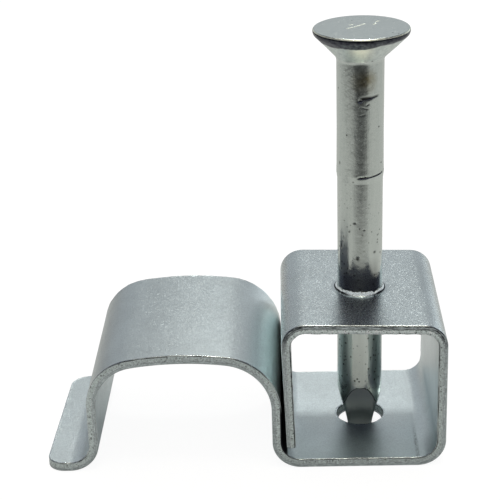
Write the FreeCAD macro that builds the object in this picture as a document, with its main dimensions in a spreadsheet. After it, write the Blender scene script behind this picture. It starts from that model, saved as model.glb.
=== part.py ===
import FreeCAD, Part
import math
import os
import Sketcher
from FreeCAD import Placement, Rotation, Vector

# Wire clip with its nail. One strip of zinc-plated steel is folded into a square
# nail box, an arched cable channel beside it and a short foot, and a countersunk
# steel nail stands in the two holes punched through the box.
#
# Millimetres and degrees. Z is up from the wall that the clip is nailed to, X runs
# from the foot to the box, and Y runs across the strip. The origin is on the nail's
# axis, at the underside of the box.

SIZES = [
    # the strip itself
    ("strip_thickness", 0.8),
    ("strip_width", 16.0),
    # nail box: outside sizes, inside bend radii
    ("box_width", 13.9),
    ("box_height", 13.4),
    ("lower_bend_radius", 1.6),
    ("upper_bend_radius", 1.2),
    # the top plate rises towards the free leg, and the leg leans into the box
    ("top_slope", 1.4),
    ("leg_lean", 1.2),
    # the leg's free end above the bottom plate, and its clearance to the riser
    ("leg_lift", 0.95),
    ("leg_gap", 0.08),
    ("leg_end_radius", 0.25),
    # cable channel: inside sizes
    ("channel_width", 14.9),
    ("channel_height", 10.15),
    ("crown_radius", 27.6),
    ("left_shoulder_radius", 3.7),
    ("right_shoulder_radius", 4.4),
    # foot: how far it stands out past the channel's outer wall
    ("foot_length", 3.85),
    ("foot_bend_radius", 1.8),
    ("foot_corner_radius", 1.3),
    # nail holes: play on the shank's diameter, and the edge rolled in by the punch
    ("hole_play", 0.36),
    ("hole_edge_radius", 0.25),
    # nail
    ("nail_length", 36.45),
    ("shank_diameter", 3.9),
    ("grip_diameter", 3.98),
    ("grip_length", 10.1),
    ("grip_step", 0.15),
    ("head_diameter", 8.0),
    ("head_rim", 0.42),
    ("countersink_angle", 90.0),
    ("rim_upper_radius", 0.2),
    ("rim_lower_radius", 0.45),
    ("neck_radius", 0.6),
    ("point_flat", 2.3),
    ("point_length_front", 4.3),
    ("point_length_side", 3.6),
]

# edges and points closer than this count as lined up
LINED_UP = 1e-6
# a sketch's own origin and axes, as its constraints name them
ORIGIN, X_AXIS, Y_AXIS = (-1, 1), -1, -2

doc = FreeCAD.newDocument("wire_clip")
sheet = doc.addObject("Spreadsheet::Sheet", "Sizes")
for row, (alias, value) in enumerate(SIZES, start=1):
    sheet.set("A%d" % row, alias.replace("_", " "))
    sheet.set("B%d" % row, str(value))
    sheet.setAlias("B%d" % row, alias)
doc.recompute()


def size(alias):
    """the sheet's value, as a plain number"""
    return float(sheet.get(alias))


def constrain(sketch, kind, *where):
    """adds a constraint that has no size"""
    sketch.addConstraint(Sketcher.Constraint(kind, *where))


def dimension(sketch, name, kind, where, value, expression):
    """adds a named dimension that starts at a value and follows an expression"""
    index = sketch.addConstraint(Sketcher.Constraint(kind, *where, value))
    sketch.renameConstraint(index, name)
    sketch.setExpression("Constraints." + name, expression)


def origin_plane(body, role):
    return next(f for f in body.Origin.OriginFeatures if f.Role == role)


def body_sketch(body, name, role):
    """a sketch on one of the body's own origin planes"""
    sketch = body.newObject("Sketcher::SketchObject", name)
    sketch.AttachmentSupport = [(origin_plane(body, role), "")]
    sketch.MapMode = "FlatFace"
    return sketch


def fillet(body, name, radius, wanted):
    """rounds the edges of the body's tip that the test picks out"""
    doc.recompute()
    tip = body.Tip
    edges = ["Edge%d" % n for n, edge in enumerate(tip.Shape.Edges, start=1) if wanted(edge)]
    rounded = body.newObject("PartDesign::Fillet", name)
    rounded.Base = (tip, edges)
    rounded.setExpression("Radius", radius)
    doc.recompute()
    return rounded


def draw_outline(sketch, points):
    """a closed outline of straight edges, level and upright where its ends line up"""
    edges = []
    for begin, end in zip(points, points[1:] + points[:1]):
        edges.append(sketch.addGeometry(Part.LineSegment(begin, end), False))
    for index, edge in enumerate(edges):
        following = edges[(index + 1) % len(edges)]
        constrain(sketch, "Coincident", edge, 2, following, 1)
        span = points[(index + 1) % len(points)] - points[index]
        if abs(span.y) < LINED_UP:
            constrain(sketch, "Horizontal", edge)
        elif abs(span.x) < LINED_UP:
            constrain(sketch, "Vertical", edge)
    return edges


class FoldLine:
    """an open line of runs and bends, each tangent to the one before it"""

    def __init__(self, sketch, start):
        self.sketch = sketch
        self.at = start
        self.last_end = None

    def join(self, edge, entry, leave, end):
        if self.last_end is not None:
            constrain(self.sketch, "Tangent", *self.last_end, edge, entry)
        self.last_end = (edge, leave)
        self.at = end
        return edge

    def run(self, end):
        edge = self.sketch.addGeometry(Part.LineSegment(self.at, end), False)
        return self.join(edge, 1, 2, end)

    def bend(self, centre, end, left_turn):
        """an arc from the present point to the end; an arc always runs anticlockwise"""
        first, last = (self.at, end) if left_turn else (end, self.at)
        begin = math.atan2(first.y - centre.y, first.x - centre.x)
        sweep = math.atan2(last.y - centre.y, last.x - centre.x) - begin
        circle = Part.Circle(centre, Vector(0, 0, 1), (first - centre).Length)
        arc = Part.ArcOfCircle(circle, begin, begin + sweep % (2 * math.pi))
        edge = self.sketch.addGeometry(arc, False)
        entry, leave = (1, 2) if left_turn else (2, 1)
        return self.join(edge, entry, leave, end)


def draw_fold_line(sketch):
    """the strip's wall side: foot sole, channel inside, then round the outside of the box"""
    thickness = size("strip_thickness")
    height = size("box_height")
    wall_x = size("box_width") / 2
    riser_x = -(wall_x + size("leg_gap") + thickness)
    web_x = riser_x - size("channel_width")
    foot_x = web_x - thickness - size("foot_length")
    foot_outer = size("foot_bend_radius") + thickness
    lower_outer = size("lower_bend_radius") + thickness
    upper_outer = size("upper_bend_radius") + thickness
    crown_radius = size("crown_radius")
    slope = math.radians(size("top_slope"))
    lean = math.radians(size("leg_lean"))

    # the arch: a wide crown arc with a shoulder arc down to each upright side
    crown_x = riser_x - size("channel_width") / 2
    crown_centre = Vector(crown_x, size("channel_height") - crown_radius, 0)

    def shoulder(side_x, radius):
        """the centre of a shoulder arc, and the point where it meets the crown"""
        centre_x = side_x + math.copysign(radius, crown_x - side_x)
        rise = math.sqrt((crown_radius - radius) ** 2 - (centre_x - crown_x) ** 2)
        centre = Vector(centre_x, crown_centre.y + rise, 0)
        outward = (centre - crown_centre).normalize()
        return centre, crown_centre + outward * crown_radius

    left_centre, left_join = shoulder(web_x, size("left_shoulder_radius"))
    right_centre, right_join = shoulder(riser_x, size("right_shoulder_radius"))

    # the box top: the outward normals of the top plate and of the leg
    top_normal = Vector(math.sin(slope), math.cos(slope), 0)
    leg_normal = Vector(-math.cos(lean), -math.sin(lean), 0)
    top_middle = Vector(0, height, 0)
    leg_corner = Vector(-wall_x, height, 0)
    right_x = wall_x - upper_outer
    right_y = height - upper_outer / math.cos(slope) - right_x * math.tan(slope)
    right_bend = Vector(right_x, right_y, 0)
    top_reach = top_middle.dot(top_normal) - upper_outer
    leg_reach = leg_corner.dot(leg_normal) - upper_outer
    cross = leg_normal.x * top_normal.y - leg_normal.y * top_normal.x
    left_bend = Vector(
        (leg_reach * top_normal.y - top_reach * leg_normal.y) / cross,
        (top_reach * leg_normal.x - leg_reach * top_normal.x) / cross,
        0,
    )
    leg_start = left_bend + leg_normal * upper_outer
    leg_end_y = thickness + size("leg_lift")
    leg_end = leg_start + Vector(math.tan(lean), -1, 0) * (leg_start.y - leg_end_y)

    line = FoldLine(sketch, Vector(foot_x, 0, 0))
    foot = line.run(Vector(web_x - foot_outer, 0, 0))
    foot_bend = line.bend(Vector(web_x - foot_outer, foot_outer, 0), Vector(web_x, foot_outer, 0), True)
    web = line.run(Vector(web_x, left_centre.y, 0))
    left_shoulder = line.bend(left_centre, left_join, False)
    crown = line.bend(crown_centre, right_join, False)
    right_shoulder = line.bend(right_centre, Vector(riser_x, right_centre.y, 0), False)
    riser = line.run(Vector(riser_x, lower_outer, 0))
    riser_bend = line.bend(
        Vector(riser_x + lower_outer, lower_outer, 0), Vector(riser_x + lower_outer, 0, 0), True
    )
    base = line.run(Vector(wall_x - lower_outer, 0, 0))
    wall_bend = line.bend(Vector(wall_x - lower_outer, lower_outer, 0), Vector(wall_x, lower_outer, 0), True)
    wall = line.run(Vector(wall_x, right_bend.y, 0))
    top_bend = line.bend(right_bend, right_bend + top_normal * upper_outer, True)
    top = line.run(left_bend + top_normal * upper_outer)
    leg_bend = line.bend(left_bend, leg_start, True)
    leg = line.run(leg_end)

    radii = [
        (foot_bend, "foot_bend_radius", foot_outer),
        (riser_bend, "lower_bend_radius", lower_outer),
        (wall_bend, "lower_bend_radius", lower_outer),
        (top_bend, "upper_bend_radius", upper_outer),
        (leg_bend, "upper_bend_radius", upper_outer),
    ]
    for edge, alias, value in radii:
        name = "%s_%d" % (alias, edge)
        dimension(sketch, name, "Radius", (edge,), value, "Sizes.%s + Sizes.strip_thickness" % alias)
    arcs = [
        (left_shoulder, "left_shoulder_radius"),
        (crown, "crown_radius"),
        (right_shoulder, "right_shoulder_radius"),
    ]
    for edge, alias in arcs:
        dimension(sketch, alias, "Radius", (edge,), size(alias), "Sizes." + alias)

    constrain(sketch, "Horizontal", foot)
    constrain(sketch, "PointOnObject", foot, 1, X_AXIS)
    constrain(sketch, "Horizontal", base)
    constrain(sketch, "PointOnObject", base, 1, X_AXIS)
    for upright in (web, riser, wall):
        constrain(sketch, "Vertical", upright)

    to_riser = "Sizes.box_width / 2 + Sizes.leg_gap + Sizes.strip_thickness"
    to_web = to_riser + " + Sizes.channel_width"
    to_foot = to_web + " + Sizes.strip_thickness + Sizes.foot_length"
    dimension(sketch, "to_foot", "DistanceX", (foot, 1, *ORIGIN), -foot_x, to_foot)
    dimension(sketch, "to_web", "DistanceX", (web, 1, *ORIGIN), -web_x, to_web)
    dimension(sketch, "to_riser", "DistanceX", (riser, 1, *ORIGIN), -riser_x, to_riser)
    dimension(sketch, "to_wall", "DistanceX", (*ORIGIN, wall, 1), wall_x, "Sizes.box_width / 2")
    to_crown = to_riser + " + Sizes.channel_width / 2"
    dimension(sketch, "to_crown", "DistanceX", (crown, 3, *ORIGIN), -crown_x, to_crown)
    crown_rise = "Sizes.channel_height - Sizes.crown_radius"
    dimension(sketch, "crown_rise", "DistanceY", (*ORIGIN, crown, 3), crown_centre.y, crown_rise)

    # the top plate passes through the box height over the nail, the leg through the box corner
    middle = sketch.addGeometry(Part.Point(top_middle), True)
    constrain(sketch, "PointOnObject", middle, 1, Y_AXIS)
    constrain(sketch, "PointOnObject", middle, 1, top)
    dimension(sketch, "box_height", "DistanceY", (*ORIGIN, middle, 1), height, "Sizes.box_height")
    corner = sketch.addGeometry(Part.Point(leg_corner), True)
    constrain(sketch, "PointOnObject", corner, 1, leg)
    dimension(sketch, "corner_x", "DistanceX", (corner, 1, *ORIGIN), wall_x, "Sizes.box_width / 2")
    dimension(sketch, "corner_y", "DistanceY", (*ORIGIN, corner, 1), height, "Sizes.box_height")
    top_angle = math.pi - slope
    dimension(sketch, "top_slope", "Angle", (top,), top_angle, "(180 - Sizes.top_slope) * 1 deg")
    leg_angle = lean - math.pi / 2
    dimension(sketch, "leg_lean", "Angle", (leg,), leg_angle, "(Sizes.leg_lean - 90) * 1 deg")
    leg_end_height = "Sizes.strip_thickness + Sizes.leg_lift"
    dimension(sketch, "leg_end", "DistanceY", (*ORIGIN, leg, 2), leg_end_y, leg_end_height)
    return foot_x, to_foot


def make_clip():
    """the folded strip: its section led along the fold line, then holes and rounded corners"""
    body = doc.addObject("PartDesign::Body", "clip")
    body.Label = "clip"
    fold_line = body_sketch(body, "fold_line", "XZ_Plane")
    foot_end, to_foot = draw_fold_line(fold_line)

    # the strip's section stands at the foot's end, with the sole on the wall
    section = body_sketch(body, "strip_section", "YZ_Plane")
    width = size("strip_width")
    thickness = size("strip_thickness")
    section.AttachmentOffset = Placement(Vector(0, 0, foot_end), Rotation())
    section.setExpression("AttachmentOffset.Base.z", "-(%s)" % to_foot)
    corners = [
        Vector(-width / 2, 0, 0),
        Vector(width / 2, 0, 0),
        Vector(width / 2, thickness, 0),
        Vector(-width / 2, thickness, 0),
    ]
    sole, far_edge, upper_side, near_edge = draw_outline(section, corners)
    constrain(section, "PointOnObject", sole, 1, X_AXIS)
    half_width = "Sizes.strip_width / 2"
    dimension(section, "near", "DistanceX", (sole, 1, *ORIGIN), width / 2, half_width)
    dimension(section, "far", "DistanceX", (*ORIGIN, far_edge, 1), width / 2, half_width)
    dimension(section, "gauge", "DistanceY", (far_edge, 1, far_edge, 2), thickness, "Sizes.strip_thickness")
    doc.recompute()

    strip = body.newObject("PartDesign::AdditivePipe", "folded_strip")
    strip.Profile = section
    strip.Spine = fold_line
    strip.Mode = "Standard"
    doc.recompute()

    circle = body_sketch(body, "nail_hole", "XY_Plane")
    hole_diameter = size("shank_diameter") + size("hole_play")
    hole = circle.addGeometry(Part.Circle(Vector(0, 0, 0), Vector(0, 0, 1), hole_diameter / 2), False)
    constrain(circle, "Coincident", hole, 3, *ORIGIN)
    expression = "Sizes.shank_diameter + Sizes.hole_play"
    dimension(circle, "hole_diameter", "Diameter", (hole,), hole_diameter, expression)
    doc.recompute()
    punch = body.newObject("PartDesign::Pocket", "nail_holes")
    punch.Profile = circle
    punch.Type = "ThroughAll"
    punch.Midplane = True

    def is_foot_corner(edge):
        box = edge.BoundBox
        at_end = abs(box.XMin - foot_end) < LINED_UP and abs(box.XMax - foot_end) < LINED_UP
        return at_end and box.YLength < LINED_UP

    fillet(body, "foot_corners", "Sizes.foot_corner_radius", is_foot_corner)

    leg_end_z = size("strip_thickness") + size("leg_lift")
    wall_x = size("box_width") / 2

    def is_leg_end(edge):
        box = edge.BoundBox
        crosses = abs(box.YLength - size("strip_width")) < LINED_UP
        near_end = abs(box.Center.z - leg_end_z) < size("strip_thickness") / 2
        return crosses and near_end and -wall_x < box.Center.x < 0 and box.XLength < LINED_UP

    fillet(body, "leg_end", "Sizes.leg_end_radius", is_leg_end)

    # the punch went in from the wall side, which is the outside of both plates
    def is_punched_side(edge):
        middle = edge.BoundBox.Center
        round_hole = edge.isClosed() and abs(middle.x) < LINED_UP and abs(middle.y) < LINED_UP
        return round_hole and (
            abs(middle.z) < LINED_UP or abs(middle.z - size("box_height")) < LINED_UP
        )

    fillet(body, "hole_edges", "Sizes.hole_edge_radius", is_punched_side)
    body.Placement = Placement(Vector(0, 0, 0), Rotation())
    return body


def cut_point_facets(body, name, role, length_alias):
    """two flats, on opposite sides of the shank, that run down to the blunt point"""
    flat = size("point_flat") / 2
    shank = size("shank_diameter") / 2
    length = size(length_alias)
    beyond = shank * 2
    sketch = body_sketch(body, name, role)
    corners = [
        Vector(flat, 0, 0),
        Vector(beyond, 0, 0),
        Vector(beyond, length, 0),
        Vector(shank, length, 0),
    ]
    sole, outer, level, facet = draw_outline(sketch, corners)
    constrain(sketch, "PointOnObject", sole, 1, X_AXIS)
    half_shank = "Sizes.shank_diameter / 2"
    dimension(sketch, "flat", "DistanceX", (*ORIGIN, sole, 1), flat, "Sizes.point_flat / 2")
    dimension(sketch, "shank", "DistanceX", (*ORIGIN, facet, 1), shank, half_shank)
    dimension(sketch, "beyond", "DistanceX", (*ORIGIN, outer, 1), beyond, "Sizes.shank_diameter")
    dimension(sketch, "length", "DistanceY", (*ORIGIN, level, 1), length, "Sizes." + length_alias)
    doc.recompute()
    cut = body.newObject("PartDesign::Pocket", name + "_cut")
    cut.Profile = sketch
    cut.Type = "ThroughAll"
    cut.Midplane = True
    doc.recompute()
    pair = body.newObject("PartDesign::PolarPattern", name + "_pair")
    pair.Originals = [cut]
    pair.Axis = (origin_plane(body, "Z_Axis"), [""])
    pair.Angle = 360
    pair.Occurrences = 2
    body.Tip = pair
    doc.recompute()


def make_nail():
    """the nail: turned outline, four flats at the point, rounded rim and neck"""
    body = doc.addObject("PartDesign::Body", "nail")
    body.Label = "nail"
    length = size("nail_length")
    shank = size("shank_diameter") / 2
    grip = size("grip_diameter") / 2
    head = size("head_diameter") / 2
    rim = length - size("head_rim")
    half_angle = math.radians(size("countersink_angle") / 2)
    neck = rim - (head - grip) / math.tan(half_angle)
    grip_start = neck - size("grip_length")

    profile = body_sketch(body, "nail_profile", "XZ_Plane")
    corners = [
        Vector(0, 0, 0),
        Vector(shank, 0, 0),
        Vector(shank, grip_start, 0),
        Vector(grip, grip_start + size("grip_step"), 0),
        Vector(grip, neck, 0),
        Vector(head, rim, 0),
        Vector(head, length, 0),
        Vector(0, length, 0),
    ]
    tip, lower, step, upper, cone, side, top, axis = draw_outline(profile, corners)
    constrain(profile, "Coincident", tip, 1, *ORIGIN)
    angle = math.pi / 2 - half_angle
    cone_angle = "(90 - Sizes.countersink_angle / 2) * 1 deg"
    sizes = [
        ("shank", "DistanceX", (*ORIGIN, lower, 1), shank, "Sizes.shank_diameter / 2"),
        ("grip", "DistanceX", (*ORIGIN, upper, 1), grip, "Sizes.grip_diameter / 2"),
        ("head", "DistanceX", (*ORIGIN, side, 1), head, "Sizes.head_diameter / 2"),
        ("length", "DistanceY", (*ORIGIN, top, 1), length, "Sizes.nail_length"),
        ("rim", "DistanceY", (side, 1, side, 2), length - rim, "Sizes.head_rim"),
        ("step", "DistanceY", (step, 1, step, 2), size("grip_step"), "Sizes.grip_step"),
        ("grip_length", "DistanceY", (step, 1, upper, 2), neck - grip_start, "Sizes.grip_length"),
        ("cone", "Angle", (cone,), angle, cone_angle),
    ]
    for name, kind, where, value, expression in sizes:
        dimension(profile, name, kind, where, value, expression)
    doc.recompute()

    turned = body.newObject("PartDesign::Revolution", "turned_blank")
    turned.Profile = profile
    turned.ReferenceAxis = (profile, ["V_Axis"])
    turned.Angle = 360
    doc.recompute()

    cut_point_facets(body, "front_flats", "YZ_Plane", "point_length_front")
    cut_point_facets(body, "side_flats", "XZ_Plane", "point_length_side")

    def ring_at(radius, height):
        def matches(edge):
            box = edge.BoundBox
            level = abs(box.ZMin - height) < LINED_UP and abs(box.ZMax - height) < LINED_UP
            return level and edge.isClosed() and abs(edge.Curve.Radius - radius) < LINED_UP
        return matches

    fillet(body, "rim_upper", "Sizes.rim_upper_radius", ring_at(head, length))
    fillet(body, "rim_lower", "Sizes.rim_lower_radius", ring_at(head, rim))
    fillet(body, "neck", "Sizes.neck_radius", ring_at(grip, neck))
    # the nail stands in both holes, its point on the wall that the clip sits on
    body.Placement = Placement(Vector(0, 0, 0), Rotation())
    return body


pieces = [make_clip(), make_nail()]
doc.recompute()

for item in doc.Objects:
    if {"Invalid", "Error"} & set(item.State):
        raise RuntimeError("%s failed: %s" % (item.Label, item.State))
    if item.TypeId == "Sketcher::SketchObject" and not item.FullyConstrained:
        raise RuntimeError("%s isn't fully constrained" % item.Label)
for piece in pieces:
    shape = piece.Shape
    if shape.isNull() or not shape.isValid() or len(shape.Solids) != 1:
        raise RuntimeError("%s isn't one valid solid" % piece.Label)

os.makedirs("parts", exist_ok=True)
for piece in pieces:
    piece.Shape.exportStep("parts/%s.step" % piece.Label)
    box = piece.Shape.BoundBox
    print(piece.Label, round(piece.Shape.Volume, 2), "mm3", [round(v, 3) for v in (
        box.XMin, box.XMax, box.YMin, box.YMax, box.ZMin, box.ZMax)])
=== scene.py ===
import bisect
import math

import bmesh
import bpy
from mathutils import Matrix, Vector


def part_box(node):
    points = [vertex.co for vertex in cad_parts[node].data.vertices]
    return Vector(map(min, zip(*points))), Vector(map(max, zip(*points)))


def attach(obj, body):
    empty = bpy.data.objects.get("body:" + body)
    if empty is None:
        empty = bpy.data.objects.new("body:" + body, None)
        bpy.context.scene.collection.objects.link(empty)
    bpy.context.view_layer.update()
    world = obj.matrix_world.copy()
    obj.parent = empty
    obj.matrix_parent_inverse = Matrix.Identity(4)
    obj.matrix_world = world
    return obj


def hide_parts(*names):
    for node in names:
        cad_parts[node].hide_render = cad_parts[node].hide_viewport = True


# A wire clip folded from one strip of zinc-plated steel, with its countersunk nail.
# Metres, in the clip's own frame: Z up from the wall that it is nailed to, X from the
# foot to the nail box, Y across the strip, and the origin on the nail's axis at the
# underside of the box.

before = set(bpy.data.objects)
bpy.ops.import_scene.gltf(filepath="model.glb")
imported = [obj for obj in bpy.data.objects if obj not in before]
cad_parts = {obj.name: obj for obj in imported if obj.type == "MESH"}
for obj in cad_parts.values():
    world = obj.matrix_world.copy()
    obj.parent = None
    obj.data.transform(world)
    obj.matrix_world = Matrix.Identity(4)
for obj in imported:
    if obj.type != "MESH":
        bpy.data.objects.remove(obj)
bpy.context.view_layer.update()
clip_low, clip_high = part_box("clip")
_, nail_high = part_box("nail")

MM = 0.001
QUARTER = math.pi / 2

# strip
THICKNESS = 0.8 * MM
HALF_WIDTH = clip_high.y
FOOT_NEAR_CORNER = 1.5 * MM
FOOT_FAR_CORNER = 1.8 * MM
# how much shorter the foot was cut on its far side, and where its straight sides begin
FOOT_SKEW = 0.4 * MM
FOOT_START = 2.0 * MM
LEG_CORNER = 0.3 * MM
# nail box: bend radii and height on its outside, how far its top and its free leg are out of
# square, the height where the leg ends, and its gap to the riser at the upper bend
LOWER_BEND = 2.4 * MM
UPPER_BEND = 2.0 * MM
BOX_HEIGHT = 13.4 * MM
TOP_SLOPE = math.radians(1.4)
LEG_LEAN = math.radians(1.5)
LEG_END = THICKNESS + 0.95 * MM
LEG_GAP = 0.08 * MM
# cable channel, inside, and the foot's bend on its outside
CHANNEL_WIDTH = 14.9 * MM
CHANNEL_HEIGHT = 10.15 * MM
CROWN_RADIUS = 27.6 * MM
LEFT_SHOULDER = 3.7 * MM
RIGHT_SHOULDER = 4.4 * MM
FOOT_BEND = 2.6 * MM
# punched holes
HOLE_RADIUS = 2.13 * MM
HOLE_ROLL = 0.25 * MM
# how much narrower the bottom hole is on the side where the punch went in
HOLE_TAPER = 0.26 * MM
# the lip that the nail pushed up round the top hole: its section as distance in from the
# hole's edge and height, both in millimetres, and the height from which it is ragged
LIP_CREST = [
    (0.0, -0.3), (-0.08, -0.05), (-0.13, 0.06), (-0.15, 0.13), (-0.145, 0.19), (-0.12, 0.21),
    (-0.08, 0.17), (-0.04, 0.12), (0.0, 0.06), (0.04, 0.0), (0.09, -0.04), (0.16, -0.02), (0.3, 0),
]
LIP_RAGGED_FROM = 0.1
# how its height is scaled in front and behind, where it broke off (degrees round from the
# front and half width in degrees), how much is gone there, the waves of its ragged top (each
# its lift, its pace in radians a degree and its start), and its share of the burr's unevenness
LIP_FRONT = 1.3
LIP_BACK = 0.3
LIP_BREAKS = [(-36, 5), (52, 3)]
LIP_BROKEN = 0.6
LIP_WAVES = [(0.08, 0.21, 1), (0.1, 0.57, 0), (0.08, 1.1, 0)]
LIP_BURR = 0.2
# the strip isn't quite straight: its far edge is higher at the crown, and close to the riser
# along the leg
CROWN_RISE = 0.17 * MM
LEG_TOUCH = 0.03 * MM
# sheared edges: the rolled side, the burr that stands on the other, and the torn band
EDGE_ROLL = 0.09 * MM
EDGE_ROUND = 0.08 * MM
LEG_END_ROLL = 0.22 * MM
LEG_END_ROUND = 0.16 * MM
BURR_HEIGHT = 0.05 * MM
BURR_GRAIN = 0.55 * MM
TEAR_DEPTH = 0.035 * MM
TEAR_GRAIN = 0.22 * MM
# the noise values from which the burr rises to its full height and the tear to its full depth,
# and the noise's octaves and seed
BURR_NOISE = (0.38, 0.62)
TEAR_NOISE = (0.3, 0.7)
UNEVEN_DETAIL = 2.0
UNEVEN_SEED = 4.0
# the cut edge's section: where its burr begins, the burr's rise round its corner as degrees
# and share of its height, and the torn band beyond it as distance in from the cut, height in
# the thickness and share of the tear; below it the cut is burnished, and then rolled
BURR_START = 0.17 * MM
BURR_RISE = [(0, 0.2), (25, 0.6), (50, 1.0), (75, 0.8)]
TORN_BAND = [(0.03 * MM, 0.87, 0.3), (0.0, 0.76, 1), (0.0, 0.62, 1), (0.0, 0.48, 0.4)]
ROLL_STEPS = 5
ROLL_MARGIN = 0.08 * MM
# the rows of that section between which the metal is cut, not plated strip, and the one from
# which the lip stands in for the rolled side
CUT_FROM = 5
CUT_TO = 13
LIP_FROM = 11
# mesh of the strip: longest step along it, largest step round a bend, steps round each corner
# of its outline, and the flat margin inside its cut edge
RUN_STEP = 0.25 * MM
BEND_STEP = math.radians(4)
CORNER_STEPS = 10
EDGE_MARGIN = LEG_CORNER
# the finer field round each hole: half width, steps, rings, and the steps on either side of it
HOLE_FIELD = 3.0 * MM
FIELD_STEPS = 40
FIELD_RINGS = (0.35, 0.7)
OUTER_STEPS = 4
# how near the end stations another may be, how near vertices are joined, room for rounding
STATION_GAP = 0.05 * MM
MERGE_REACH = 0.001 * MM
ROUNDING = 1e-9

# nail
HEAD_RADIUS = nail_high.x
HEAD_RIM = 0.42 * MM
NECK_RADIUS = 0.6 * MM
RIM_UPPER = 0.2 * MM
RIM_LOWER = 0.45 * MM
SHANK_RADIUS = 1.95 * MM
# the point's four flats: half width across them at the end, length and hollow of the front
# and back ones and of the side ones, and how sharp the corners between them are
POINT_FLAT = 1.06 * MM
POINT_LENGTH_FRONT = 4.3 * MM
POINT_HOLLOW_FRONT = 1.8
POINT_LENGTH_SIDE = 3.75 * MM
POINT_HOLLOW_SIDE = 1.3
POINT_CORNERS = 9
POINT_EDGE = 0.12 * MM
# scratches on top of the head, each from one place to another
HEAD_SCRATCHES = [
    ((-1.15, -0.35), (-0.75, 0.0)),
    ((-0.6, 0.1), (-0.1, 0.55)),
    ((0.0, 0.75), (0.3, 1.0)),
    ((1.05, 0.75), (1.2, 1.1)),
    ((1.3, 1.6), (1.5, 1.9)),
    ((-0.9, 0.7), (-0.7, 0.9)),
]
SCRATCH_DEPTH = 0.035 * MM
SCRATCH_REACH = 0.09 * MM
# the nail leans a little in its holes, and its head was struck a little off its axis
NAIL_LEAN = 0.0044
LEAN_FROM = 12.5 * MM
HEAD_OFFSET = 0.08 * MM
# where the drawn wire is thicker or thinner than its nominal radius: height, difference
SWELL = [
    (0, 0.02), (13, 0.02), (17, -0.025), (23.5, -0.02),
    (24.1, 0.055), (24.8, 0.035), (28, 0.015), (33.5, 0.03),
]
# mesh of the nail: vertices round it, rings of its sole and of the edge round that, steps
# along it, how near a die mark the fine steps reach, steps of the head, its middle's reach
NAIL_SEGMENTS = 160
SOLE_RINGS = (0.4, 0.7, 0.9)
EDGE_RINGS = 4
POINT_STEP = 0.08 * MM
MARK_STEP = 0.05 * MM
MARK_REACH = 0.45 * MM
PLAIN_STEP = 0.22 * MM
HEAD_STEP = 0.07 * MM
HEAD_TURN = math.radians(12)
HEAD_CENTRE = 0.05 * MM
# dents that the heading dies left: degrees round from the front, height, half length
# round the shank, half height, depth, rise along its length, and how dark it has filled
DIE_MARKS = [
    (10, 30.98, 0.55, 0.17, 0.035, 0.05, 0.9),
    (31, 31.05, 0.50, 0.10, 0.03, 0.10, 0.7),
    (-3, 30.78, 0.14, 0.13, 0.08, 0.0, 0.9),
    (-6, 31.5, 0.12, 0.45, 0.02, 0.0, 0.35),
    (15, 30.43, 0.13, 0.06, 0.02, 0.5, 0.5),
    (8, 30.13, 0.28, 0.06, 0.02, -0.3, 0.5),
    (2, 29.54, 0.22, 0.06, 0.015, 0.25, 0.45),
    (5, 24.10, 0.42, 0.085, 0.09, 0.05, 1.0),
    (38, 24.17, 0.80, 0.05, 0.07, 0.09, 0.8),
    (63, 24.26, 0.10, 0.07, 0.04, 0.0, 0.9),
    (77, 24.30, 0.10, 0.07, 0.04, 0.0, 0.9),
    (-62, 25.15, 0.10, 0.14, 0.03, 0.0, 0.7),
    (-57, 17.6, 0.10, 0.30, 0.03, 0.0, 0.7),
    (38, 17.2, 0.13, 0.12, 0.03, 0.0, 0.8),
    (-8, 16.8, 0.13, 0.12, 0.03, 0.0, 0.8),
    (-16, 20.0, 0.12, 0.08, 0.03, 0.0, 0.8),
    (-31, 19.2, 0.09, 0.08, 0.03, 0.0, 0.7),
    (8, 19.4, 0.08, 0.06, 0.03, 0.0, 0.7),
    (-20, 23.7, 0.08, 0.06, 0.03, 0.0, 0.6),
]
# a mark is gone this many half lengths and half heights from its middle; its dirt is denser
# than it is deep, and ends sooner above and below
MARK_ENDS = (2, 3)
DIRT_DENSITY = 1.3
DIRT_FALL = 1.4

# the photograph's view: where the lens stands, how it is turned, its focal length, and how
# near it a thing may be
CAMERA_PLACE = Vector((-5.804, -118.739, 67.708)) * MM
CAMERA_YAW = -0.03076
CAMERA_PITCH = 0.40360
CAMERA_ROLL = -0.03295
CAMERA_LENS = 107.59
SENSOR_WIDTH = 36
CAMERA_NEAR = 10 * MM
# the floor reaches this far, and lies a hair below the wall plane so that the two don't touch
FLOOR_REACH = 3000 * MM
FLOOR_DROP = 0.02 * MM
# the lamps: name, place, width and height in millimetres, how bright the face is, and colour;
# and the place that they all face
LAMPS = [
    ("key_light", (8, 175, 265), 34, 30, 54, "#ffffff"),
    ("back_light", (0, 340, 140), 620, 290, 0.44, "#fbfffe"),
    ("right_light", (250, 250, 70), 180, 170, 1.0, "#f4fbff"),
    ("top_light", (0, 0, 300), 560, 170, 1.2, "#fff4e2"),
    ("front_top_light", (20, -60, 295), 60, 40, 12, "#fff6e4"),
]
LAMP_AIM = (-8, 0, 8)
# how strongly the white studio lights matt surfaces, and the dark room lights the metal
STUDIO_GLOW = 0.5
ROOM_GLOW = 0.8
# the paper: how much it glows by itself for the camera, and its darkest tone, its lit tone
# close to the clip and further off, and its faint glow for the metal
PAPER_WHITE = 0.92
PAPER_DARK = 0.03
PAPER_LIT = (0.58, 0.46)
PAPER_GLOW = 0.12
# ellipses on the paper as the metal sees it: the centre and the half widths in millimetres, and
# the shares of these between which it fades out. In front the paper is dark, it is lit as far
# as its edge, and it is lit most close to the clip.
DARK_FRONT = ((4, -125), (72, 92), (0.45, 1.15))
LIT_SHEET = ((50, 110), (230, 230), (0.85, 1.1))
LIT_MOST = ((0, 15), (45, 30), (0.3, 1.0))

scene = bpy.context.scene
scene.view_settings.view_transform = "Standard"


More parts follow.
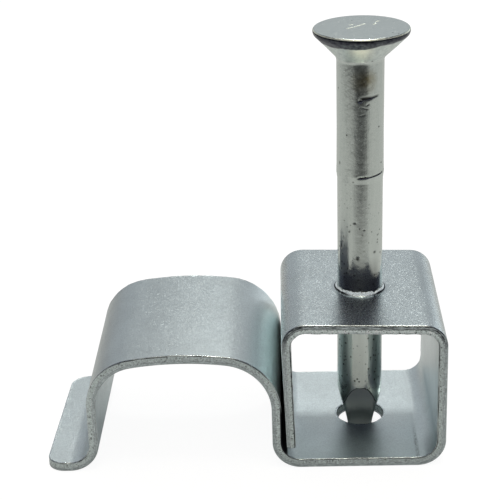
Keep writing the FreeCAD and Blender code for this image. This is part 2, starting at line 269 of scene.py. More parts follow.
def linear(hex_colour):
    """an sRGB hex colour as the linear colour that a socket takes"""
    def channel(pair):
        level = int(pair, 16) / 255
        return level / 12.92 if level <= 0.04045 else ((level + 0.055) / 1.055) ** 2.4
    return [channel(hex_colour[i:i + 2]) for i in (1, 3, 5)] + [1]


def add_node(tree, kind, inputs=(), **settings):
    """adds a node with its own settings; each input is a value, or the socket that feeds it, or
    the node whose first output does"""
    node = tree.nodes.new(kind)
    for name, value in settings.items():
        setattr(node, name, value)
    for socket, value in dict(inputs).items():
        if isinstance(value, bpy.types.Node):
            value = value.outputs[0]
        if isinstance(value, bpy.types.NodeSocket):
            tree.links.new(value, node.inputs[socket])
        else:
            node.inputs[socket].default_value = value
    return node


def new_material(name):
    """an empty material and its tree"""
    material = bpy.data.materials.new(name)
    material.use_nodes = True
    material.node_tree.nodes.clear()
    return material, material.node_tree


# Camera, light and stage

def make_camera():
    data = bpy.data.cameras.new("camera")
    data.lens = CAMERA_LENS
    data.sensor_width = SENSOR_WIDTH
    data.clip_start = CAMERA_NEAR
    camera = bpy.data.objects.new("camera", data)
    turn = (
        Matrix.Rotation(-CAMERA_YAW, 4, "Z")
        @ Matrix.Rotation(QUARTER - CAMERA_PITCH, 4, "X")
        @ Matrix.Rotation(CAMERA_ROLL, 4, "Z")
    )
    camera.matrix_world = Matrix.Translation(CAMERA_PLACE) @ turn
    scene.collection.objects.link(camera)
    scene.camera = camera


def make_world():
    """a white studio for the camera, a dark room for the metal, and soft light for what is matt"""
    world = bpy.data.worlds.new("studio")
    world.use_nodes = True
    scene.world = world
    tree = world.node_tree
    tree.nodes.clear()
    path = add_node(tree, "ShaderNodeLightPath")
    level = add_node(tree, "ShaderNodeMath", {
        0: path.outputs["Is Diffuse Ray"], 1: STUDIO_GLOW, 2: path.outputs["Is Camera Ray"],
    }, operation="MULTIPLY_ADD")
    soft = add_node(tree, "ShaderNodeBackground", {"Color": linear("#ffffff"), "Strength": level})
    dark = add_node(tree, "ShaderNodeBackground", {
        "Color": linear("#3b3c50"), "Strength": ROOM_GLOW})
    room = add_node(tree, "ShaderNodeMixShader", {
        "Fac": path.outputs["Is Glossy Ray"], 1: soft, 2: dark})
    add_node(tree, "ShaderNodeOutputWorld", {"Surface": room})


def paper_material():
    """White paper. The camera sees it bright, with only a soft shadow on it. The metal sees it
    as it lies in the studio: lit near the clip, dark past its edge and in front, where the
    camera's side takes the light away."""
    material, tree = new_material("white_paper")
    place = add_node(tree, "ShaderNodeTexCoord").outputs["Object"]

    def outside(centre, half_widths, shares):
        """0 inside to 1 outside of an ellipse on the paper"""
        scaled = add_node(tree, "ShaderNodeMapping", {
            "Location": [-middle / half for middle, half in zip(centre, half_widths)] + [0],
            "Scale": [1 / (half * MM) for half in half_widths] + [0], "Vector": place})
        away = add_node(tree, "ShaderNodeVectorMath", {0: scaled}, operation="LENGTH")
        return add_node(tree, "ShaderNodeMapRange", {
            "Value": away.outputs["Value"], "From Min": shares[0], "From Max": shares[1],
        }, interpolation_type="SMOOTHSTEP")

    lit = add_node(tree, "ShaderNodeMath", {
        0: outside(*DARK_FRONT), 1: outside(*LIT_SHEET)}, operation="SUBTRACT", use_clamp=True)
    most = add_node(tree, "ShaderNodeMapRange", {
        "Value": outside(*LIT_MOST), "To Min": PAPER_LIT[0], "To Max": PAPER_LIT[1]})
    tone = add_node(tree, "ShaderNodeMapRange", {
        "Value": lit, "To Min": PAPER_DARK, "To Max": most})
    shaded = add_node(tree, "ShaderNodeBsdfDiffuse", {"Color": tone})
    faint = add_node(tree, "ShaderNodeEmission", {"Color": tone, "Strength": PAPER_GLOW})
    reflected = add_node(tree, "ShaderNodeAddShader", {0: shaded, 1: faint})
    matt = add_node(tree, "ShaderNodeBsdfDiffuse", {"Color": linear("#646464")})
    base = add_node(tree, "ShaderNodeEmission", {
        "Color": linear("#ffffff"), "Strength": PAPER_WHITE})
    seen = add_node(tree, "ShaderNodeAddShader", {0: matt, 1: base})
    path = add_node(tree, "ShaderNodeLightPath")
    both = add_node(tree, "ShaderNodeMixShader", {
        "Fac": path.outputs["Is Glossy Ray"], 1: seen, 2: reflected})
    add_node(tree, "ShaderNodeOutputMaterial", {"Surface": both})
    return material


def make_lamp(name, place, width, height, radiance, colour):
    """a soft rectangular lamp that faces the clip, given by how bright its face is"""
    data = bpy.data.lights.new(name, "AREA")
    data.shape = "RECTANGLE"
    data.size = width * MM
    data.size_y = height * MM
    data.energy = radiance * math.pi * data.size * data.size_y
    data.color = linear(colour)[:3]
    lamp = bpy.data.objects.new(name, data)
    lamp.location = Vector(place) * MM
    lamp.rotation_mode = "QUATERNION"
    lamp.rotation_quaternion = (Vector(LAMP_AIM) * MM - lamp.location).to_track_quat("-Z", "Y")
    scene.collection.objects.link(lamp)


def make_stage():
    paper = bpy.data.meshes.new("floor")
    paper.from_pydata([
        (x * FLOOR_REACH, y * FLOOR_REACH, -FLOOR_DROP)
        for x, y in ((-1, -1), (1, -1), (1, 1), (-1, 1))
    ], [], [range(4)])
    paper.materials.append(paper_material())
    floor = bpy.data.objects.new("floor", paper)
    scene.collection.objects.link(floor)
    for lamp in LAMPS:
        make_lamp(*lamp)


# Materials. Their places and the sizes of their patterns are in millimetres. A noise is given
# by the size of its blobs, or their sizes along X, Y and Z, and by its octaves.

# how strong the finer octaves of each noise are, and the values between which most of it lies
NOISE_ROUGHNESS = 0.65
NOISE_SPAN = (0.3, 0.7)
# the strip's plating: its grain, its clouds, its relief, and the flakes in it with their sizes,
# how far they tilt, and how rough they are. Real crystals are a few hundredths of a millimetre
# across; grain and flakes are drawn coarser, as large as they need to be to show.
SATIN_GRAIN = (0.11, 3.0)
SATIN_CLOUD = (3.0, 2.0)
SATIN_RELIEF = 0.014
FLAKE_SIZES = (0.07, 0.098)
FLAKE_TILT = 0.36
FLAKE_ROUGHNESS = 0.35
# torn metal and its relief, how far it wanders in shares of the thickness, the patches of the
# painted shadow under the burr, the specks of dirt, and the streaks of stretched plating: their
# noise in units of a streak, their length, and how many lie side by side on the edge
TEAR_PATTERN = (0.15, 4.0)
TEAR_RELIEF = 0.035
TEAR_WANDER = 0.25
BURR_SHADE_PATCH = (2.5, 2.0)
DIRT_SPECK = (0.13, 1.0)
STREAKS = (1.0, 3.0)
STREAK_LENGTH = 0.8
STREAKS_PER_EDGE = 9.0
# drawn wire: its lines, the ragged wear of its plating, its grain and its waves, their relief,
# and how far apart its large and small pits lie
WIRE_LINES = ((0.25, 0.25, 5), 3.0)
WIRE_WEAR = ((0.16, 0.16, 0.6), 3.0)
WIRE_GRAIN = (0.3, 4.0)
WIRE_WAVE = (0.9, 2.0)
WIRE_RELIEF = 0.009
PIT_SPACING = 1.3
SMALL_PIT_SPACING = 0.42
# the brown stain under the head, and the middle of the head's top
STAIN_PLACE = (0.35, -1.92, 32.4)
HEAD_MIDDLE = (0.18, 0, 36.45)


def surface_place(tree):
    """where a spot of the surface lies in millimetres: as a vector, and as its X, Y and Z"""
    place = add_node(tree, "ShaderNodeTexCoord").outputs["Object"]
    scaled = add_node(tree, "ShaderNodeVectorMath", {0: place, "Scale": 1 / MM}, operation="SCALE")
    parts = add_node(tree, "ShaderNodeSeparateXYZ", {0: scaled}).outputs
    return scaled, parts["X"], parts["Y"], parts["Z"]


def soft_noises(tree, place, *patterns):
    """several noises at a place"""
    made = []
    for size, octaves in patterns:
        sizes = size if isinstance(size, tuple) else (size, size, size)
        stretched = add_node(tree, "ShaderNodeMapping", {
            "Vector": place, "Scale": [1 / width for width in sizes]})
        made.append(add_node(tree, "ShaderNodeTexNoise", {
            "Vector": stretched, "Scale": 1.0, "Detail": octaves,
            "Roughness": NOISE_ROUGHNESS}).outputs["Fac"])
    return made


def mask(tree, *fades):
    """the product of fades; each is a source, the two values of it between which it fades, and
    what it fades from and to, or only a source that is taken as it is"""
    shown = None
    for fade in fades:
        source, begin, end, first, last = fade if isinstance(fade, tuple) else (fade, 0, 1, 0, 1)
        share = add_node(tree, "ShaderNodeMapRange", {
            "Value": source, "From Min": begin, "From Max": end, "To Min": first, "To Max": last,
        })
        shown = share if shown is None else add_node(tree, "ShaderNodeMath", {
            0: shown, 1: share}, operation="MULTIPLY")
    return shown


def painted(tree, ground, *coats):
    """a colour with others over it; each coat is a mask and its colour, and each colour is
    written in hex or comes from a socket"""
    for share, colour in coats:
        below, above = (linear(c) if isinstance(c, str) else c for c in (ground, colour))
        ground = add_node(tree, "ShaderNodeMix", {
            "Factor": share, "A": below, "B": above}, data_type="RGBA").outputs["Result"]
    return ground


def crystals(tree, place):
    """the shading normal of small crystals, each leaning its own way"""
    leaning = add_node(tree, "ShaderNodeNewGeometry").outputs["Normal"]
    for size in FLAKE_SIZES:
        cells = add_node(tree, "ShaderNodeTexVoronoi", {"Vector": place, "Scale": 1 / size})
        lean = add_node(tree, "ShaderNodeVectorMath", {
            0: cells.outputs["Color"], 1: (0.5, 0.5, 0.5)}, operation="SUBTRACT")
        lean = add_node(tree, "ShaderNodeVectorMath", {
            0: lean, "Scale": FLAKE_TILT}, operation="SCALE")
        leaning = add_node(tree, "ShaderNodeVectorMath", {0: leaning, 1: lean})
    return add_node(tree, "ShaderNodeVectorMath", {0: leaning}, operation="NORMALIZE")


def satin_zinc():
    """Bright zinc plating over cold-rolled strip, left as it came from the barrel: its fine
    crystals give a soft, slightly blue satin that breaks into small sparks under a lamp. The
    box's top is smoother, the burr along the near edge is rubbed bright, and the lip round the top
    hole is torn and matt, painted near white as a painted highlight. Painted shade darkens the
    gap by the riser, the groove round the lip and the crease at the right wall's foot, and the
    plating is painted darker towards the box's top and on the crown, and lighter where the box's
    left side and the shoulder face each other."""
    material, tree = new_material("satin_zinc")
    place, x, y, z = surface_place(tree)
    grain, cloud = soft_noises(tree, place, SATIN_GRAIN, SATIN_CLOUD)
    burr = add_node(tree, "ShaderNodeAttribute", attribute_name="burr").outputs["Fac"]
    rubbed_and_sheen = mask(tree, (burr, 0, 0.4, 0, 1), (y, 4, 6, 1, 0))

    # painted reflection: the plating is painted brighter where the box's left side and the shoulder
    # beside it face each other
    painted_bright_shoulder = mask(tree, (x, -11, -8.5, 0, 1), (x, -6.85, -6.75, 1, 0), (z, 6.5, 8, 0, 1))
    # painted shade: the crown is painted a little darker
    crown = mask(tree, (x, -21, -18, 0, 1), (x, -9, -7.5, 1, 0))
    # the plating's random clouds and grain, with painted shade: darker towards the box's top
    level = mask(
        tree, (cloud, *NOISE_SPAN, 0.94, 1.05), (z, 1, 12.5, 1.05, 0.91),
        (grain, *NOISE_SPAN, 0.89, 1.1), (painted_bright_shoulder, 0, 1, 1, 1.3), (crown, 0, 1, 1, 0.94))
    # painted shade: what shows of the gap between the riser and the leg is painted dark
    gap_shade = mask(
        tree, (x, -7.4, -7.33, 0, 1), (x, -6.57, -6.5, 1, 0),
        (z, 5.2, 6.8, 1, 0), (z, 1.15, 1.35, 0, 1))
    # painted shade: dark specks along the crease at the foot of the box's right wall, fewer further
    # back
    crease = mask(
        tree, (x, 4.38, 4.54, 0, 0.75), (x, 4.66, 4.82, 1, 0), (grain, 0.48, 0.56, 0, 1),
        (y, -5.5, -2, 1, 0.15), (z, 1.1, 1.3, 1, 0))

    # the torn lip round the top hole is matt and painted near white, a painted highlight for its
    # glint, and is broader in front, where the nail pushed it up most; beside it the groove behind
    # the lip has painted shade
    off_axis = add_node(tree, "ShaderNodeVectorMath", {
        0: add_node(tree, "ShaderNodeCombineXYZ", {"X": x, "Y": y}),
    }, operation="LENGTH").outputs["Value"]
    aside = add_node(tree, "ShaderNodeMath", {0: x}, operation="ABSOLUTE")
    from_edge = add_node(tree, "ShaderNodeMath", {
        0: off_axis, 1: mask(tree, (aside, 0.9, 1.5, 0.06, 0))}, operation="SUBTRACT")
    lip = mask(
        tree, (from_edge, 2.10, 2.14, 1, 0), (z, 13.14, 13.19, 0, 1), (grain, 0.4, 0.5, 0.6, 1))
    groove_shade = mask(
        tree, (off_axis, 2.11, 2.15, 0, 1), (off_axis, 2.2, 2.25, 1, 0),
        (z, 12.9, 13.0, 0, 1), (aside, 0.9, 1.5, 0, 1))

    tone = painted(tree, "#cbd7d8", (grain, "#e0eaea"), (crease, "#2a2c30"), (lip, "#ecf8ff"))
    colour = add_node(tree, "ShaderNodeVectorMath", {0: tone, "Scale": level}, operation="SCALE")
    relief = add_node(tree, "ShaderNodeBump", {
        "Height": grain, "Strength": 1.0, "Distance": SATIN_RELIEF * MM})
    rough = mask(
        tree, (z, 11.2, 12.6, 0.33, 0.26), (rubbed_and_sheen, 0, 1, 1, 0.5), (grain, *NOISE_SPAN, 0.84, 1.18))
    metal = add_node(tree, "ShaderNodeBsdfPrincipled", {
        "Base Color": colour, "Metallic": mask(tree, (lip, 0, 1, 1, 0)),
        "Roughness": rough, "Normal": relief})
    flakes = add_node(tree, "ShaderNodeBsdfPrincipled", {
        "Base Color": colour, "Metallic": 1.0, "Roughness": FLAKE_ROUGHNESS,
        "Normal": crystals(tree, place)})
    plating = add_node(tree, "ShaderNodeMixShader", {
        "Fac": mask(tree, (rubbed_and_sheen, 0, 1, 0.18, 0), (lip, 0, 1, 1, 0)),
        1: metal, 2: flakes})
    # painted shade: the gap and the groove are painted with a near-black matt
    darkening = add_node(tree, "ShaderNodeMath", {0: gap_shade, 1: groove_shade}, operation="MAXIMUM")
    dark_fill = add_node(tree, "ShaderNodeBsdfDiffuse", {"Color": linear("#16161a")})
    plating_and_shade = add_node(tree, "ShaderNodeMixShader", {"Fac": darkening, 1: plating, 2: dark_fill})
    add_node(tree, "ShaderNodeOutputMaterial", {"Surface": plating_and_shade})
    return material


def sheared_zinc():
    """The same plating over sheared metal: a smooth burnished band on the side where the
    blade went in, streaked where the box's upper bends pulled it, a torn matt one beyond it
    with specks of dirt, and here and there a painted shadow: a dark line under the burr."""
    material, tree = new_material("sheared_zinc")
    place, x, _, z = surface_place(tree)
    depth, run = (
        add_node(tree, "ShaderNodeAttribute", attribute_name=name).outputs["Fac"]
        for name in ("depth", "run"))
    tear, patch, speck = soft_noises(tree, place, TEAR_PATTERN, BURR_SHADE_PATCH, DIRT_SPECK)
    # how far a spot is through the strip, with the tear's own wandering added
    wander = add_node(tree, "ShaderNodeMath", {
        0: tear, 1: TEAR_WANDER, 2: depth}, operation="MULTIPLY_ADD")
    torn = mask(tree, (wander, 0.52, 0.66, 0, 1))
    on_top = mask(tree, (z, 10.9, 12.2, 0, 1))
    lighter = mask(tree, (wander, 0.66, 0.72, 0, 1), on_top)
    level = mask(tree, (tear, *NOISE_SPAN, 0.66, 1.24), (lighter, 0, 1, 1, 1.3))
    tone = painted(tree, "#d0dcde", (torn, "#dce8e6"))
    mottled = add_node(tree, "ShaderNodeVectorMath", {0: tone, "Scale": level}, operation="SCALE")

    # streaks that run along the edge, denser at the bends
    along = add_node(tree, "ShaderNodeMath", {
        0: run, 1: 1 / (STREAK_LENGTH * MM)}, operation="MULTIPLY")
    across = add_node(tree, "ShaderNodeMath", {0: depth, 1: STREAKS_PER_EDGE}, operation="MULTIPLY")
    spread = add_node(tree, "ShaderNodeCombineXYZ", {"X": along, "Y": across})
    stripes, = soft_noises(tree, spread, STREAKS)
    aside = add_node(tree, "ShaderNodeMath", {0: x}, operation="ABSOLUTE")
    pulled = add_node(tree, "ShaderNodeMath", {
        0: stripes, 1: mask(tree, (aside, 4.5, 6.0, 0, 0.07))}, operation="ADD")
    streak = mask(
        tree, (pulled, 0.46, 0.58, 0, 1), (depth, 0.35, 0.55, 1, 0.15), (on_top, 0, 1, 0.3, 0.9))
    # the line where the tear began
    seam = mask(tree, (wander, 0.54, 0.58, 0, 0.8), (wander, 0.62, 0.66, 1, 0), on_top)
    dark = add_node(tree, "ShaderNodeMath", {0: streak, 1: seam}, operation="MAXIMUM")

    # painted shadow: a dark line in patches under the burr, not along the box's top, nor from the
    # left shoulder down the web
    on_web = mask(tree, (x, -22.5, -20.5, 1, 0), (z, 1.0, 2.2, 0, 1))
    burr_shadow = mask(
        tree, (depth, 0.84, 0.87, 0, 1), (patch, 0.4, 0.5, 0.3, 1),
        (z, 11.2, 12.2, 1, 0), (on_web, 0, 1, 1, 0))
    specks = mask(tree, (speck, 0.63, 0.69, 0, 0.8), (depth, 0.4, 0.6, 0.2, 1))
    # the painted shadow under the burr, and the real specks of dirt
    dark_fill = add_node(tree, "ShaderNodeMath", {0: burr_shadow, 1: specks}, operation="MAXIMUM")
    colour = painted(tree, mottled, (dark, "#1e2026"), (dark_fill, "#1c1c24"))
    relief = add_node(tree, "ShaderNodeBump", {
        "Height": tear, "Strength": 1.0, "Distance": TEAR_RELIEF * MM})
    metal = add_node(tree, "ShaderNodeBsdfPrincipled", {
        "Base Color": colour, "Metallic": 1.0, "Roughness": mask(tree, (torn, 0, 1, 0.2, 0.5)),
        "Normal": relief})
    add_node(tree, "ShaderNodeOutputMaterial", {"Surface": metal})
    return material


def drawn_zinc():
    """Bright zinc over drawn wire: glossier than the strip, with faint lines along the wire,
    large and small pits, dark dirt in the marks that the heading dies left, a brown stain
    under the head, painted shade round the rim and on the shank just above the top hole,
    painted highlights under the head in front and on the rim's upper corner, and rougher
    plating on the head's underside and on the flats of the point."""
    material, tree = new_material("drawn_zinc")
    place, x, _, z = surface_place(tree)
    flare, facet, mark, scratch = (
        add_node(tree, "ShaderNodeAttribute", attribute_name=name).outputs["Fac"]
        for name in ("flare", "facet", "mark", "scratch"))
    lines, ragged, grain, wave = soft_noises(
        tree, place, WIRE_LINES, WIRE_WEAR, WIRE_GRAIN, WIRE_WAVE)
    off_stain, off_middle = (
        add_node(tree, "ShaderNodeVectorMath", {
            0: place, 1: centre}, operation="DISTANCE").outputs["Value"]
        for centre in (STAIN_PLACE, HEAD_MIDDLE))
    aside = add_node(tree, "ShaderNodeMath", {0: x}, operation="ABSOLUTE")
    stain = mask(tree, (off_stain, 0.3, 1.3, 1.2, 0), wave)

    # the head's rim: painted shade, a dark band deeper on the left, under an upper corner painted
    # light and matt as a painted highlight
    ends = add_node(tree, "ShaderNodeMath", {
        0: mask(tree, (x, 0.2, 2.2, 0, 0.36)), 1: mask(tree, (wave, *NOISE_SPAN, 0, 0.14)),
    }, operation="ADD")
    above = add_node(tree, "ShaderNodeMath", {0: z, 1: ends}, operation="SUBTRACT")
    band = mask(tree, (above, 35.36, 35.48, 0, 1), (z, 36.31, 36.35, 1, 0))
    rim_shade = mask(tree, band, (grain, 0.35, 0.65, 0.97, 0.85))
    corner = mask(
        tree, (off_middle, 3.72, 3.82, 0, 1), (z, 36.31, 36.35, 0, 1),
        (z, 36.38, 36.42, 0.8, 0), (ragged, 0.3, 0.6, 0.5, 1))
    # the painted highlight on the corner, and the scratches, which are rubbed bright
    rubbed_and_sheen = add_node(tree, "ShaderNodeMath", {
        0: corner, 1: mask(tree, (scratch, 0, 1, 0, 0.6))}, operation="MAXIMUM")
    # the head's underside: rough, with a painted highlight in front
    flared = mask(tree, flare, (grain, 0.4, 0.7, 0, 0.4))
    underside_highlight = mask(
        tree, flare, (aside, 0.3, 1.3, 1, 0), (z, 34.3, 35.2, 0.2, 1), (band, 0, 1, 1, 0))
    # painted shade: the shank is painted dark brown in front, just above the top hole
    foot = mask(tree, (z, 14.6, 16.8, 0.6, 0), (aside, 1.3, 1.7, 1, 0), (z, 13.0, 13.3, 0, 1))

    # dirt in the marks and the pits; the small pits lie in patches, most of them low down
    large, small = (
        add_node(tree, "ShaderNodeTexVoronoi", {
            "Vector": place, "Scale": 1 / spacing}).outputs["Distance"]
        for spacing in (PIT_SPACING, SMALL_PIT_SPACING))
    pits = mask(tree, (large, 0.045, 0.075, 0.9, 0))
    peppered = mask(
        tree, (small, 0.18, 0.26, 0.8, 0), (wave, 0.44, 0.54, 0, 1), (z, 15, 25, 1, 0.1))
    dark_fill = mark
    for spots in (pits, peppered):
        dark_fill = add_node(tree, "ShaderNodeMath", {0: dark_fill, 1: spots}, operation="MAXIMUM")
    # the flats of the point, duller higher up, with a sharp dark border: there the facet's share
    # is neither none nor all
    flats = painted(tree, "#a2aba8", (mask(tree, (z, 0.8, 3.4, 0, 1)), "#7d8288"))
    border = add_node(tree, "ShaderNodeMath", {0: facet, 1: 0.5, 2: 0.42}, operation="COMPARE")

    tone = painted(
        tree, "#c9d3cf", (lines, "#dfe8e3"), (stain, "#877a4a"), (rim_shade, "#1f1f33"),
        (rubbed_and_sheen, "#e6ead4"), (flared, "#8f9799"), (underside_highlight, "#fffff2"), (foot, "#42342e"),
        (dark_fill, "#2b2826"), (facet, flats), (mask(tree, (border, 0, 1, 0, 0.9)), "#1c1e22"))

    # rougher on the head's underside, above where it stood in the top hole, where it is
    # rubbed, and on the flats
    rough = mask(tree, (grain, *NOISE_SPAN, 0.08, 0.2))
    for source, begin, end, most in (
            (flare, 0, 1, 0.2), (z, 16, 19, 0.08), (rubbed_and_sheen, 0, 1, 0.3), (facet, 0, 1, 0.2)):
        rough = add_node(tree, "ShaderNodeMath", {
            0: rough, 1: mask(tree, (source, begin, end, 0, most))}, operation="ADD")
    height = lines
    for part, share in ((wave, 2.0), (grain, 0.8), (ragged, 0.8)):
        height = add_node(tree, "ShaderNodeMath", {
            0: part, 1: share, 2: height}, operation="MULTIPLY_ADD")
    relief = add_node(tree, "ShaderNodeBump", {
        "Height": height, "Strength": 1.0, "Distance": WIRE_RELIEF * MM})
    metal = add_node(tree, "ShaderNodeBsdfPrincipled", {
        "Base Color": tone, "Metallic": mask(tree, (rubbed_and_sheen, 0, 1, 1, 0.5)),
        "Roughness": rough, "Normal": relief})
    add_node(tree, "ShaderNodeOutputMaterial", {"Surface": metal})
    return material


def between(table, x):
    """the value at x of a table of rising (x, value) pairs, straight between them"""
    for (x0, y0), (x1, y1) in zip(table, table[1:]):
        if x0 <= x <= x1:
            return y0 + (y1 - y0) * (x - x0) / (x1 - x0)
    return table[0][1] if x < table[0][0] else table[-1][1]


def lead(start, arcs, end, run_step, bend_step):
    """points from start to end, straight between arcs; each arc is its centre, its radius
    and the angles where it begins and ends"""
    corners = [[start]]
    for centre, radius, begin, finish in arcs:
        turn = abs(finish - begin)
        steps = max(1, math.ceil(turn / bend_step), math.ceil(turn * radius / run_step))
        angles = [begin + (finish - begin) * i / steps for i in range(steps + 1)]
        corners.append([centre + Vector((math.cos(a), math.sin(a))) * radius for a in angles])
    corners.append([end])
    points = []
    for stretch in corners:
        if points:
            span = stretch[0] - points[-1]
            steps = max(1, math.ceil(span.length / run_step))
            points += [points[-1] + span * i / steps for i in range(1, steps)]
        points += stretch
    return points


# Folded strip

def fold_line():
    """the strip's wall side in the XZ plane: the foot's sole, the inside of the channel and the
    outside of the box"""
    wall_x = clip_high.x
    riser_x = -wall_x - LEG_GAP - THICKNESS
    web_x = riser_x - CHANNEL_WIDTH
    crown_x = riser_x - CHANNEL_WIDTH / 2
    crown = Vector((crown_x, CHANNEL_HEIGHT - CROWN_RADIUS))

    def shoulder(side_x, radius):
        """the centre of a shoulder, and the direction in which it meets the crown"""
        x = side_x + math.copysign(radius, crown_x - side_x)
        rise = math.sqrt((CROWN_RADIUS - radius) ** 2 - (x - crown_x) ** 2)
        return Vector((x, crown.y + rise)), math.atan2(rise, x - crown_x)

    left, left_angle = shoulder(web_x, LEFT_SHOULDER)
    right, right_angle = shoulder(riser_x, RIGHT_SHOULDER)

    # the box's upper corners: bends that touch the wall, the sloping top and the leaning leg
    top_out = Vector((math.sin(TOP_SLOPE), math.cos(TOP_SLOPE)))
    leg_out = Vector((-math.cos(LEG_LEAN), -math.sin(LEG_LEAN)))
    wall_centre_x = wall_x - UPPER_BEND
    top_reach = BOX_HEIGHT * top_out.y - UPPER_BEND
    wall_centre = Vector((wall_centre_x, (top_reach - wall_centre_x * top_out.x) / top_out.y))
    leg_reach = Vector((-wall_x, BOX_HEIGHT)).dot(leg_out) - UPPER_BEND
    cross = leg_out.x * top_out.y - leg_out.y * top_out.x
    leg_centre = Vector((
        (leg_reach * top_out.y - top_reach * leg_out.y) / cross,
        (top_reach * leg_out.x - leg_reach * top_out.x) / cross,
    ))
    leg_start = leg_centre + leg_out * UPPER_BEND
    leg_end = leg_start + Vector((math.tan(LEG_LEAN), -1)) * (leg_start.y - LEG_END)

    arcs = [
        (Vector((web_x - FOOT_BEND, FOOT_BEND)), FOOT_BEND, -QUARTER, 0),
        (left, LEFT_SHOULDER, math.pi, left_angle),
        (crown, CROWN_RADIUS, left_angle, right_angle),
        (right, RIGHT_SHOULDER, right_angle, 0),
        (Vector((riser_x + LOWER_BEND, LOWER_BEND)), LOWER_BEND, math.pi, 3 * QUARTER),
        (Vector((wall_x - LOWER_BEND, LOWER_BEND)), LOWER_BEND, -QUARTER, 0),
        (wall_centre, UPPER_BEND, 0, QUARTER - TOP_SLOPE),
        (leg_centre, UPPER_BEND, QUARTER - TOP_SLOPE, math.pi + LEG_LEAN),
    ]
    return lead(Vector((clip_low.x, 0)), arcs, leg_end, RUN_STEP, BEND_STEP)


def distances(points):
    """how far along the line each of its points lies"""
    total = [0.0]
    for before, after in zip(points, points[1:]):
        total.append(total[-1] + (after - before).length)
    return total


def far_edge_shift(place, left):
    """how far the strip's far edge is out of line at a place on the fold line, with this much
    of the strip left to the leg's end"""
    leg_length = BOX_HEIGHT - UPPER_BEND - LEG_END
    end_gap = LEG_GAP + math.tan(LEG_LEAN) * leg_length
    closing = between([
        (0, end_gap - LEG_TOUCH), (leg_length, LEG_GAP - LEG_TOUCH),
        (leg_length + UPPER_BEND * QUARTER, 0)], left)
    # only the riser and what comes before it lie beyond the leg
    beyond_leg = place.x < -clip_high.x - LEG_GAP
    rise = CROWN_RISE * max(0, place.y / CHANNEL_HEIGHT) if beyond_leg else 0
    return Vector((-closing, 0, rise))


def sheared_profile(roll, taper=0, burr_round=EDGE_ROUND):
    """the strip's cut edge, from its burr side to its rolled side: distance in from the cut,
    height, share of the burr, share of the torn band. A taper leans the cut outward."""
    top = THICKNESS
    edge = [(EDGE_MARGIN, top, 0, 0), (BURR_START, top, 0, 0)]
    for degrees, lift in BURR_RISE:
        a = math.radians(degrees)
        edge.append((burr_round * (1 - math.sin(a)), top - burr_round * (1 - math.cos(a)), lift, 0))
    edge += [(inward, share * top, 0, torn) for inward, share, torn in TORN_BAND]
    edge.append((0.0, (edge[-1][1] + roll) / 2, 0, 0))
    for i in range(ROLL_STEPS + 1):
        angle = QUARTER * i / ROLL_STEPS
        edge.append((roll * (1 - math.cos(angle)), roll * (1 - math.sin(angle)), 0, 0))
    leaning = [
        (inward - taper * (1 - height / top), height, burr, torn)
        for inward, height, burr, torn in edge]
    return leaning + [(max(EDGE_MARGIN, roll + ROLL_MARGIN), 0, 0, 0)]


def outline_profile(out):
    """the cut edge all round the strip, rounder at the leg's end"""
    end = max(0, out.x)
    roll = EDGE_ROLL + (LEG_END_ROLL - EDGE_ROLL) * end
    return sheared_profile(roll, 0, EDGE_ROUND + (LEG_END_ROUND - EDGE_ROUND) * end)


def lip_profile(out):
    """the same edge where the nail turned its rolled side up into a ragged lip, which leans
    over the hole and has a groove behind it; out points from the strip into the hole"""
    turn = math.degrees(math.atan2(-out.x, out.y))
    share = LIP_BACK + (LIP_FRONT - LIP_BACK) * (0.5 + 0.5 * math.cos(math.radians(turn)))
    for degrees, half_width in LIP_BREAKS:
        share *= 1 - LIP_BROKEN * math.exp(-((turn - degrees) / half_width) ** 2)
    ragged = 1 + sum(lift * math.sin(pace * turn + start) for lift, pace, start in LIP_WAVES)
    rows = sheared_profile(HOLE_ROLL)[:LIP_FROM]
    for inward, height in LIP_CREST:
        stretch = share * ragged if height > LIP_RAGGED_FROM else share if height > 0 else 1
        rows.append((inward * MM, -height * stretch * MM, LIP_BURR * share, 0))
    return rows


